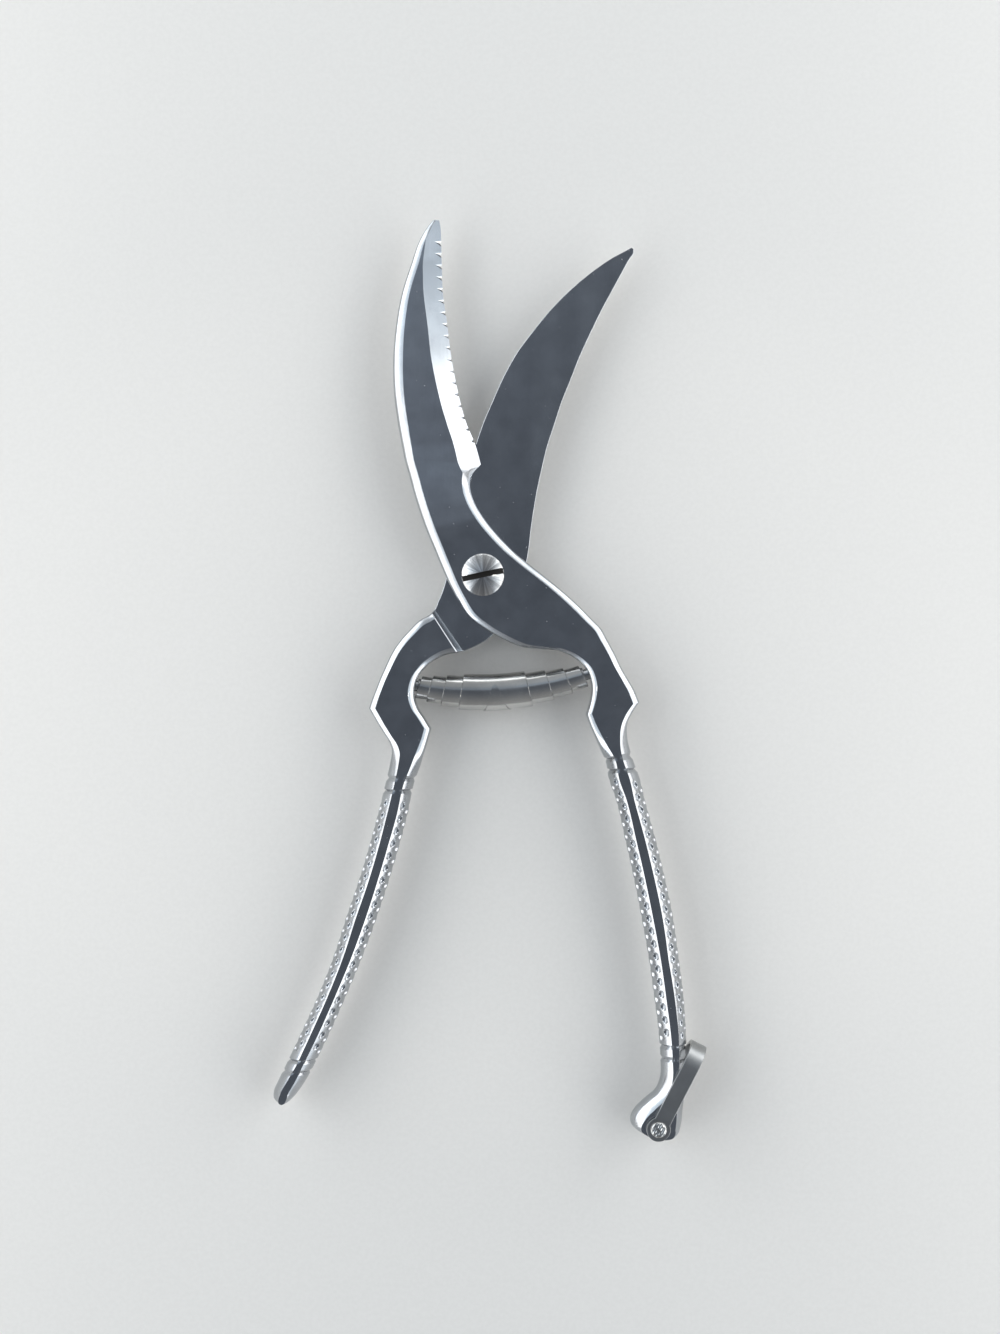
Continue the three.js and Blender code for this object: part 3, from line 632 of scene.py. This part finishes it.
def steel(name, tint, roughness, patchy=0.06, grain=0.02, specks=0.0, streaks=0.0, turned_finish=0.0):
    """Ground and polished stainless steel: patchy polish, faint grain, soft streaks and bright specks. A
    turned face also gets painted reflection streaks: light and dark radial spokes in its tint.
    """
    material = bpy.data.materials.new(name)
    material.use_nodes = True
    nodes, links = material.node_tree.nodes, material.node_tree.links
    shader = nodes["Principled BSDF"]
    shader.inputs["Metallic"].default_value = 1.0
    coords = nodes.new("ShaderNodeTexCoord")

    def noise(scale, detail, stretch):
        mapping = nodes.new("ShaderNodeMapping")
        mapping.inputs["Scale"].default_value = stretch
        texture = nodes.new("ShaderNodeTexNoise")
        texture.inputs["Scale"].default_value = scale
        texture.inputs["Detail"].default_value = detail
        links.new(coords.outputs["Object"], mapping.inputs["Vector"])
        links.new(mapping.outputs["Vector"], texture.inputs["Vector"])
        return texture.outputs["Fac"]

    def fit(socket, low, high, to_low, to_high):
        node = nodes.new("ShaderNodeMapRange")
        for key, value in (("From Min", low), ("From Max", high), ("To Min", to_low), ("To Max", to_high)):
            node.inputs[key].default_value = value
        links.new(socket, node.inputs["Value"])
        return node.outputs["Result"]

    def combine(operation, a, b):
        node = nodes.new("ShaderNodeMath")
        node.operation = operation
        links.new(a, node.inputs[0])
        links.new(b, node.inputs[1])
        return node.outputs[0]

    def layer(kind, to_low, to_high):
        scale, detail, stretch, low, high = FINISH[kind]
        return fit(noise(scale, detail, stretch), low, high, to_low, to_high)

    def shades(dark, light):
        ramp.color_ramp.elements[0].color = (*(c * dark for c in tint), 1)
        ramp.color_ramp.elements[1].color = (*(min(1, c * light) for c in tint), 1)

    rough = layer("polish", roughness - patchy / 2, roughness + patchy / 2)
    streak = layer("streak", 0, streaks)
    speck = layer("speck", 0, specks)
    links.new(combine("ADD", rough, combine("ADD", streak, speck)), shader.inputs["Roughness"])

    ramp = nodes.new("ShaderNodeValToRGB")
    shades(*SHADE)
    shade = layer("shade", 0, 1)
    links.new(ramp.outputs["Color"], shader.inputs["Base Color"])

    bump = nodes.new("ShaderNodeBump")
    bump.inputs["Strength"].default_value = grain
    bump.inputs["Distance"].default_value = GRAIN["height"]
    links.new(noise(GRAIN["scale"], GRAIN["detail"], GRAIN["stretch"]), bump.inputs["Height"])
    links.new(bump.outputs["Normal"], shader.inputs["Normal"])

    if turned_finish:
        shader.inputs["Anisotropic"].default_value = turned_finish
        shader.inputs["Anisotropic Rotation"].default_value = 0.25
        tangent = nodes.new("ShaderNodeTangent")
        tangent.direction_type = "RADIAL"
        tangent.axis = "Z"
        links.new(tangent.outputs["Tangent"], shader.inputs["Tangent"])
        # Painted reflection streaks: light and dark radial spokes in the tint stand in for a turned face's
        # streaky reflections
        angle = nodes.new("ShaderNodeTexGradient")
        angle.gradient_type = "RADIAL"
        links.new(coords.outputs["Object"], angle.inputs["Vector"])
        spokes = nodes.new("ShaderNodeTexNoise")
        spokes.noise_dimensions = "1D"
        spokes.inputs["Scale"].default_value = REFLECTION_SPOKES["scale"]
        spokes.inputs["Detail"].default_value = REFLECTION_SPOKES["detail"]
        links.new(angle.outputs["Fac"], spokes.inputs["W"])
        shade = fit(spokes.outputs["Fac"], REFLECTION_SPOKES["low"], REFLECTION_SPOKES["high"], 0, 1)
        shades(*TURNED_SPOKE_SHADES)
    links.new(shade, ramp.inputs["Fac"])
    return material


def floor_material():
    material = bpy.data.materials.new("floor_paper")
    material.use_nodes = True
    nodes, links = material.node_tree.nodes, material.node_tree.links
    shader = nodes["Principled BSDF"]
    shader.inputs["Roughness"].default_value = 0.85
    shader.inputs["Specular IOR Level"].default_value = 0.2
    coords = nodes.new("ShaderNodeTexCoord")
    texture = nodes.new("ShaderNodeTexNoise")
    texture.inputs["Scale"].default_value = 900
    texture.inputs["Detail"].default_value = 3
    ramp = nodes.new("ShaderNodeValToRGB")
    ramp.color_ramp.elements[0].position = 0.35
    ramp.color_ramp.elements[0].color = (0.81, 0.788, 0.752, 1)
    ramp.color_ramp.elements[1].position = 0.65
    ramp.color_ramp.elements[1].color = (0.83, 0.808, 0.772, 1)
    links.new(coords.outputs["Object"], texture.inputs["Vector"])
    links.new(texture.outputs["Fac"], ramp.inputs["Fac"])
    links.new(ramp.outputs["Color"], shader.inputs["Base Color"])
    return material


# ---- studio ----
# The studio's glow by direction: |x|, then (y + 1) / 2, then height z
SIDE_GLOW = ((0.0, (0.11, 0.125, 0.15)), (0.2, (0.115, 0.13, 0.155)), (0.33, (0.14, 0.155, 0.18)),
             (0.5, (0.25, 0.28, 0.32)), (0.57, (0.7, 0.8, 0.9)), (0.64, (1.0, 1.13, 1.24)),
             (0.85, (1.0, 1.06, 1.12)), (1.0, (0.5, 0.5, 0.5)))
END_GLOW = ((0.0, (0.18, 0.17, 0.15)), (0.15, (0.11, 0.105, 0.095)), (0.38, (0.02, 0.02, 0.02)),
            (0.49, (0.0, 0.0, 0.0)), (0.6, (0.01, 0.01, 0.01)), (0.7, (0.08, 0.08, 0.08)),
            (0.8, (0.2, 0.2, 0.19)), (0.93, (0.25, 0.25, 0.24)), (1.0, (0.4, 0.4, 0.38)))
LOW_GLOW = ((0.0, (0.06, 0.06, 0.06)), (0.5, (0.02, 0.02, 0.02)), (0.8, (0.0, 0.0, 0.0)),
            (1.0, (0.0, 0.0, 0.0)))
# A soft light overhead, towards the blades: its share by (x + 1) / 2 and its colour by (y + 1) / 2
CEILING_SHARE = ((0.0, (1, 1, 1)), (0.488, (1, 1, 1)), (0.508, (0, 0, 0)), (1.0, (0, 0, 0)))
CEILING_GLOW = ((0.0, (0.0, 0.0, 0.0)), (0.53, (0.0, 0.0, 0.0)), (0.58, (0.10, 0.11, 0.13)),
                (0.602, (0.17, 0.20, 0.25)), (0.636, (0.25, 0.32, 0.40)), (0.7, (0.2, 0.24, 0.28)),
                (1.0, (0.0, 0.0, 0.0)))


def make_world():
    """Dark straight above, where the camera stands, dim front and back, brighter to the left and right."""
    world = bpy.data.worlds.new("studio")
    bpy.context.scene.world = world
    world.use_nodes = True
    nodes, links = world.node_tree.nodes, world.node_tree.links
    background = nodes["Background"]
    coords = nodes.new("ShaderNodeTexCoord")
    split = nodes.new("ShaderNodeSeparateXYZ")
    links.new(coords.outputs["Generated"], split.inputs["Vector"])

    def ramp(socket, stops):
        node = nodes.new("ShaderNodeValToRGB")
        elements = node.color_ramp.elements
        elements[0].position, elements[0].color = stops[0][0], (*stops[0][1], 1)
        elements[1].position, elements[1].color = stops[-1][0], (*stops[-1][1], 1)
        for position, colour in stops[1:-1]:
            elements.new(position).color = (*colour, 1)
        links.new(socket, node.inputs["Fac"])
        return node.outputs["Color"]

    def arithmetic(operation, a, b=None):
        node = nodes.new("ShaderNodeMath")
        node.operation = operation
        links.new(a, node.inputs[0])
        if b is not None:
            node.inputs[1].default_value = b
        return node.outputs[0]

    def vector(operation, a, b):
        node = nodes.new("ShaderNodeVectorMath")
        node.operation = operation
        links.new(a, node.inputs[0])
        links.new(b, node.inputs[1])
        return node.outputs[0]

    sideways = arithmetic("ABSOLUTE", split.outputs["X"])
    upward = arithmetic("MULTIPLY_ADD", split.outputs["Y"], 0.5)
    upward.node.inputs[2].default_value = 0.5
    sides = ramp(sideways, SIDE_GLOW)
    ends = ramp(upward, END_GLOW)
    low = ramp(split.outputs["Z"], LOW_GLOW)
    leftward = arithmetic("MULTIPLY_ADD", split.outputs["X"], 0.5)
    leftward.node.inputs[2].default_value = 0.5
    ceiling = vector("MULTIPLY", ramp(leftward, CEILING_SHARE), ramp(upward, CEILING_GLOW))
    glow = vector("ADD", vector("ADD", sides, ends), vector("ADD", low, ceiling))
    links.new(glow, background.inputs["Color"])
    background.inputs["Strength"].default_value = 1.0


# Places and sizes in metres, powers in watts and the cone in degrees
WINDOWS = (      # name, place, aim, size, power, colour
    ("left_window", (-0.36, 0.0, 0.165), (0, -0.02, 0), (0.9, 0.23), 1.08, (1.0, 0.988, 0.972)),
    ("right_window", (0.37, 0.0, 0.165), (0, -0.02, 0), (0.9, 0.23), 1.1, (1.0, 0.988, 0.972)),
    ("back_window", (0.0, 0.52, 0.115), (0, 0, 0), (0.7, 0.09), 0.45, (0.95, 0.98, 1.0)),
)
SPOT = {"x": 0.75, "y": -0.03, "z": 0.9, "aim": (0.004, -0.031, 0), "power": 38, "cone": 3.1, "soft": 0.12,
        "colour": (1.0, 0.97, 0.92)}
VIEW = {"width": 0.268, "distance": 0.60, "x": 0.0046, "y": -0.0247, "sensor": 36}


def set_light(name, data, place, aim):
    light = bpy.data.objects.new(name, data)
    light.location = place
    light.rotation_euler = (Vector(aim) - Vector(place)).to_track_quat("-Z", "Y").to_euler()
    bpy.context.scene.collection.objects.link(light)


def make_window(name, place, aim, size, power, colour):
    data = bpy.data.lights.new(name, "AREA")
    data.shape = "RECTANGLE"
    data.size, data.size_y = size
    data.energy = power
    data.color = colour
    set_light(name, data, place, aim)


def make_spot(name, place, aim, power):
    """A narrow soft beam that lifts the shade between the arms."""
    data = bpy.data.lights.new(name, "SPOT")
    data.energy = power
    data.color = SPOT["colour"]
    data.spot_size = math.radians(SPOT["cone"])
    data.spot_blend = 1.0
    data.shadow_soft_size = SPOT["soft"]
    set_light(name, data, place, aim)


def make_camera():
    """Straight down. The picture is 268 mm wide at the shears' front face."""
    data = bpy.data.cameras.new("camera")
    camera = bpy.data.objects.new("camera", data)
    data.sensor_fit = "HORIZONTAL"
    data.sensor_width = VIEW["sensor"]
    data.lens = VIEW["sensor"] * VIEW["distance"] / VIEW["width"]
    camera.location = (VIEW["x"], VIEW["y"], FRONT * MM + VIEW["distance"])
    bpy.context.scene.collection.objects.link(camera)
    bpy.context.scene.camera = camera


def make_floor():
    size, level = 1.6, -0.0002
    verts = [(x * size, y * size, level) for x, y in ((-1, -1), (1, -1), (1, 1), (-1, 1))]
    floor = new_object("floor", verts, [(0, 1, 2, 3)], floor_material())


# ---- spring ----
SPIRAL = 0.3            # the wound strip stands this much further out at its lower side
ARC_R = ARC["chord"] / 2 / math.sin(math.radians(ARC["half_angle"]))


def arc_frame(along):
    """Point and direction on the spring's axis, a distance along it from the plain half's end."""
    middle = ARC_R * math.radians(ARC["half_angle"])
    turn = (along - middle) / ARC_R
    tilt = math.radians(ARC["tilt"])
    u = ARC["chord"] / 2 + ARC_R * math.sin(turn)
    v = -(ARC_R * math.cos(turn) - ARC_R * math.cos(middle / ARC_R))
    x = ARC["x0"] + u * math.cos(tilt) - v * math.sin(tilt)
    y = ARC["y0"] + u * math.sin(tilt) + v * math.cos(tilt)
    return x, y, tilt + turn


def on_spring(along, r, around):
    """Point at a radius from the spring's axis. Around is 0 at the front and 90 degrees at the lower side."""
    x, y, turn = arc_frame(along)
    r += SPIRAL * max(0.0, math.sin(around)) ** 2
    side = -r * math.sin(around)
    z = MID + r * math.cos(around)
    return (x - side * math.sin(turn)) * MM, (y + side * math.cos(turn)) * MM, z * MM


def spring_turn(index, material):
    """One turn of the strip: a thin sleeve with obliquely cut, softened ends."""
    start, stop, r = TURNS[index]
    inner = r - TURN["wall"]
    lap, soft, segments = TURN["lap"], TURN["soft"], TURN["segments"]
    low = start - (lap if index > 0 else 0)
    high = stop + (lap if index < len(TURNS) - 1 else 0)
    lean = -1 if index < WIDEST else 1
    centre = (low + high) / 2
    steps = max(4, math.ceil((high - low) / TURN["step"]))
    profile = [(low, inner + soft), (low + soft, inner)]
    profile += [(low + (high - low) * k / steps, inner) for k in range(1, steps)]
    profile += [(high - soft, inner), (high, inner + soft), (high, r - soft), (high - soft, r)]
    profile += [(low + (high - low) * k / steps, r) for k in range(steps - 1, 0, -1)]
    profile += [(low + soft, r), (low, r - soft)]
    verts = []
    for along, radius in profile:
        ease = (along - centre) / (high - centre)
        share = ease if index == WIDEST else lean * abs(ease)
        for k in range(segments):
            around = 2 * math.pi * k / segments
            shift = TURN["oblique"] * math.sin(around) * share
            verts.append(on_spring(along + shift, radius, around))
    count = len(verts)
    faces = [tuple(v % count for v in face) for face in ring_faces(len(profile) + 1, segments)]
    return new_object(f"spring_turn_{index + 1}_surface", verts, faces, material, 40)


def spring_tongue(material):
    """The strip's pointed outer end, lying on the widest turn."""
    r = TURNS[WIDEST][2] + TONGUE["above"]
    tip, rows, across = TONGUE["tip"], TONGUE["rows"], TONGUE["across"]
    verts = []
    for layer in (0, TONGUE["thick"]):
        for i in range(rows + 1):
            share = (i / rows) ** TONGUE["crowding"]
            around = math.radians(tip + (TONGUE["end"] - tip) * share)
            down = r * (around - math.radians(tip))
            half = min(TONGUE["narrow"] + TONGUE["widening"] * down, TONGUE["widest"])
            half *= math.sqrt(min(1, down / TONGUE["point"] + TONGUE["point_share"]))
            middle = TONGUE["middle"] + TONGUE["lean"] * down
            lift = TONGUE["lift"] * (1 - share) ** TONGUE["lift_power"]
            for j in range(across + 1):
                along = middle + half * (2 * j / across - 1)
                verts.append(on_spring(along, r + layer + lift, around))
    width = across + 1
    top = (rows + 1) * width
    faces = []
    for i in range(rows):
        for j in range(across):
            a = i * width + j
            faces.append((a, a + 1, a + 1 + width, a + width))
            faces.append((top + a, top + a + width, top + a + 1 + width, top + a + 1))
    rim = list(range(width)) + [i * width + across for i in range(1, rows + 1)]
    rim += [rows * width + j for j in range(across - 1, -1, -1)] + [i * width for i in range(rows - 1, 0, -1)]
    for k in range(len(rim)):
        a, b = rim[k], rim[(k + 1) % len(rim)]
        faces.append((a, b, top + b, top + a))
    return new_object("spring_tongue", verts, faces, material, 40)


def spring_peg(end, material):
    r, collar = PEG["r"], PEG["collar_r"]
    profile = [(0, -PEG["tail"]), (r, -PEG["tail"]), (r, 0), (collar - 0.1, 0.02), (collar, 0.12),
               (collar, PEG["collar"] - 0.25), (collar - 0.08, PEG["collar"] - 0.08),
               (collar - 0.3, PEG["collar"]), (r + 0.1, PEG["collar"]), (r, PEG["collar"] + 0.12)]
    for k in range(9):
        a = k / 8 * math.pi / 2
        profile.append((r * math.cos(a) if k < 8 else 0, PEG["length"] - 1.4 + 1.4 * math.sin(a)))
    peg = lathe(f"spring_peg_{end}_surface", profile, material, 48)
    left = end == "left"
    x, y, turn = arc_frame(0 if left else TURNS[-1][1] + 0.3)
    turned(peg, 90 if left else -90, "Y")
    turned(peg, math.degrees(turn))
    return moved(peg, x, y, MID)


# ---- pivot and latch ----
def pivot_screw(material, slot_shade_material):
    """Shallow turned dome with a screwdriver slot, on a plain shank. The slot's faces are painted near-black
    as shade.
    """
    seat = FRONT + HEAD["gap"]
    shank, r = PIVOT["shank"], HEAD["r"]
    profile = [(0, 0), (shank - 0.4, 0), (shank, 0.4), (shank, seat), (r - 0.12, seat), (r, seat + 0.12),
               (r, seat + HEAD["rim"] - 0.2)]
    rise = HEAD["dome"]
    edge = r - 0.2
    cap = (edge * edge + rise * rise) / (2 * rise)
    for k in range(25):
        x = edge * (1 - k / 24)
        profile.append((x, seat + HEAD["rim"] + math.sqrt(cap * cap - x * x) - (cap - rise)))
    screw = lathe("pivot_screw_surface", profile, material, 128, 40)
    top = seat + HEAD["rim"] + rise
    slot = turned(box(-14, 14, -SLOT["width"] / 2, SLOT["width"] / 2, top - SLOT["depth"], top + 3),
                  SLOT["angle"])
    cut(screw, [slot])
    smooth_by_angle(screw, 40)
    # The faces inside the slot get a near-black material: painted shade in the recess.
    screw.data.materials.append(slot_shade_material)
    across = Vector((-math.sin(math.radians(SLOT["angle"])), math.cos(math.radians(SLOT["angle"])), 0))
    for face in screw.data.polygons:
        inside = abs(face.center.dot(across)) < (SLOT["width"] / 2 + 0.02) * MM
        if inside and face.center.z > (top - SLOT["depth"] - 0.02) * MM and face.center.length < 1:
            face.material_index = 1
    soften(screw, 0.05, 50)
    return screw


def soften(obj, width, angle):
    """A small round on every edge sharper than the angle."""
    bevel = obj.modifiers.new("soften", "BEVEL")
    bevel.width = width * MM
    bevel.segments = 2
    bevel.limit_method = "ANGLE"
    bevel.angle_limit = math.radians(angle)
    bevel.harden_normals = False


def pivot_nut(material):
    corner = NUT["across"] / 2 / math.cos(math.pi / 6)
    nut = lathe("pivot_nut_surface", [(0, 0), (corner, 0), (corner, NUT["height"]), (0, NUT["height"])],
                material, 6)
    face, wide, top = NUT["across"] / 2 - 0.15, corner + 0.05, NUT["height"] + 0.01
    chamfer = lathe("cutter", [(0, -0.01), (face, -0.01), (wide, 0.5), (wide, top), (0, top)], material, 96)
    cut(nut, [chamfer], "INTERSECT")
    cut(nut, [rod(NUT["bore"], -1, 5)])
    smooth_by_angle(nut, 25)
    soften(nut, 0.08, 50)
    return nut


def latch_strap(material):
    """A strip bent round in a loop, with a rounded eye at each end for the rivet."""
    low, high = BACK - STRAP["gap"], FRONT + STRAP["gap"]
    inner = (high - low) / 2
    outer = inner + STRAP["sheet"]
    bend, half = STRAP["bend_at"], STRAP["width"] / 2
    arc = [k / 48 * math.pi for k in range(49)]
    side = [(0, high)] + [(bend + inner * math.sin(a), MID + inner * math.cos(a)) for a in arc] + [(0, low)]
    side += [(0, low - STRAP["sheet"])]
    side += [(bend + outer * math.sin(a), MID - outer * math.cos(a)) for a in arc]
    side += [(0, high + STRAP["sheet"])]
    count = len(side)
    verts = [(x * MM, y * MM, z * MM) for y in (-half, half) for x, z in side]
    faces = [(k, (k + 1) % count, (k + 1) % count + count, k + count) for k in range(count)]
    pairs = count // 2
    for k in range(pairs - 1):
        a, b = k, k + 1
        c, d = count - 1 - b, count - 1 - a
        faces.append((a, b, c, d))
        faces.append((d + count, c + count, b + count, a + count))
    strap = new_object("latch_strap_surface", verts, faces, material)
    cut(strap, [rod(STRAP["eye"], high, high + STRAP["sheet"])], "UNION")
    cut(strap, [rod(STRAP["eye"], low - STRAP["sheet"], low)], "UNION")
    cut(strap, [rod(RIVET["bore"], -5, 25)])
    smooth_by_angle(strap, 30)
    soften(strap, 0.16, 45)
    turned(strap, STRAP["angle"])
    return moved(strap, RIVET["x"], RIVET["y"], 0)


def latch_rivet(material):
    """Peened at both ends: a low head, hammered uneven."""
    top = FRONT + STRAP["gap"] + STRAP["sheet"] + RIVET["play"]
    bottom = BACK - STRAP["gap"] - STRAP["sheet"] - RIVET["play"]
    r, h = RIVET["head_r"], RIVET["head_h"]
    head = [(r - 0.08, 0.0), (r, 0.1), (r, 0.3 * h)]
    for k in range(1, 15):
        head.append((r * (1 - 0.06 * k), h * (0.3 + 0.7 * math.sin(min(1, k / 5) * math.pi / 2))))
    profile = [(0, bottom - h)] + [(x, bottom - z) for x, z in reversed(head)]
    profile += [(RIVET["r"], bottom), (RIVET["r"], top)] + [(x, top + z) for x, z in head] + [(0, top + h)]
    rivet = lathe("latch_rivet_surface", profile, material, 64, 50)
    for v in rivet.data.vertices:
        x, y, z = (c / MM for c in v.co)
        radius = math.hypot(x, y)
        if radius < r * 0.85 and (z > top + 0.5 * h or z < bottom - 0.5 * h):
            wave = math.sin(3.1 * x + 1.3) * math.sin(3.7 * y + 0.4) + math.sin(5.3 * x - 2.9 * y) - 1
            dent = RIVET["dent"] * wave
            v.co.z += (dent if z > MID else -dent) * MM
    return moved(rivet, RIVET["x"], RIVET["y"], 0)


# ---- assembly ----
bpy.context.scene.view_settings.view_transform = "Standard"
make_camera()
make_world()
make_floor()
for window in WINDOWS:
    make_window(*window)
make_spot("left_spot", (-SPOT["x"], SPOT["y"], SPOT["z"]), SPOT["aim"], SPOT["power"])
make_spot("right_spot", (SPOT["x"], SPOT["y"], SPOT["z"]), SPOT["aim"], SPOT["power"])

polished = steel("polished_steel", (0.475, 0.49, 0.51), 0.18, patchy=0.05, specks=0.4, streaks=0.05)
# Turned steel for screw, nut and pegs, with painted radial reflection spokes in its tint
screw_steel = steel("screw_steel", (0.6, 0.6, 0.6), 0.22, turned_finish=0.98)
# Near-black material for the screw's slot: painted shade, not a real finish.
slot_painted_shade = steel("slot_painted_shade", (0.07, 0.065, 0.06), 0.5)
# Near-black material on each notch's steep side: painted shade.
notch_painted_shade = steel("notch_painted_shade", (0.1, 0.1, 0.11), 0.45)
spring_steel = steel("spring_steel", (0.58, 0.575, 0.56), 0.2, patchy=0.08)
strap_steel = steel("strap_steel", (0.38, 0.385, 0.385), 0.34, specks=0.2)
rivet_steel = steel("rivet_steel", (0.5, 0.5, 0.49), 0.24)

HALVES = {
    "serrated_half": {"rows": SERRATED_ROWS, "edges": SERRATED_EDGES, "blade_end": SERRATED_BLADE_END,
                      "shoulder": SERRATED_SHOULDER_ROWS, "grip": SERRATED_GRIP, "serrated": True,
                      "cutters": serrated_cutters},
    "plain_half": {"rows": PLAIN_ROWS, "edges": PLAIN_EDGES, "blade_end": PLAIN_BLADE_END,
                   "shoulder": PLAIN_SHOULDER_ROWS, "grip": PLAIN_GRIP, "serrated": False,
                   "cutters": plain_cutters},
}


BODY_NODES = frame["record"]["behaviour"]["bodies"]


def place(piece, node, slot):
    body = next(name for name, nodes in BODY_NODES.items() if node in nodes)
    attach(piece, body)
    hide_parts(node)


for node, spec in HALVES.items():
    place(make_half(node + "_surface", spec, polished), node, "polished_steel")
place(pivot_screw(screw_steel, slot_painted_shade), "pivot_screw", "screw_steel")
place(pivot_nut(screw_steel), "pivot_nut", "screw_steel")
place(spring_peg("left", screw_steel), "spring_peg_left", "screw_steel")
place(spring_peg("right", screw_steel), "spring_peg_right", "screw_steel")
for index in range(len(TURNS)):
    place(spring_turn(index, spring_steel), f"spring_turn_{index + 1}", "spring_steel")
tongue = spring_tongue(spring_steel)
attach(tongue, "turn_4_body")
place(latch_strap(strap_steel), "latch_strap", "strap_steel")
place(latch_rivet(rivet_steel), "latch_rivet", "rivet_steel")
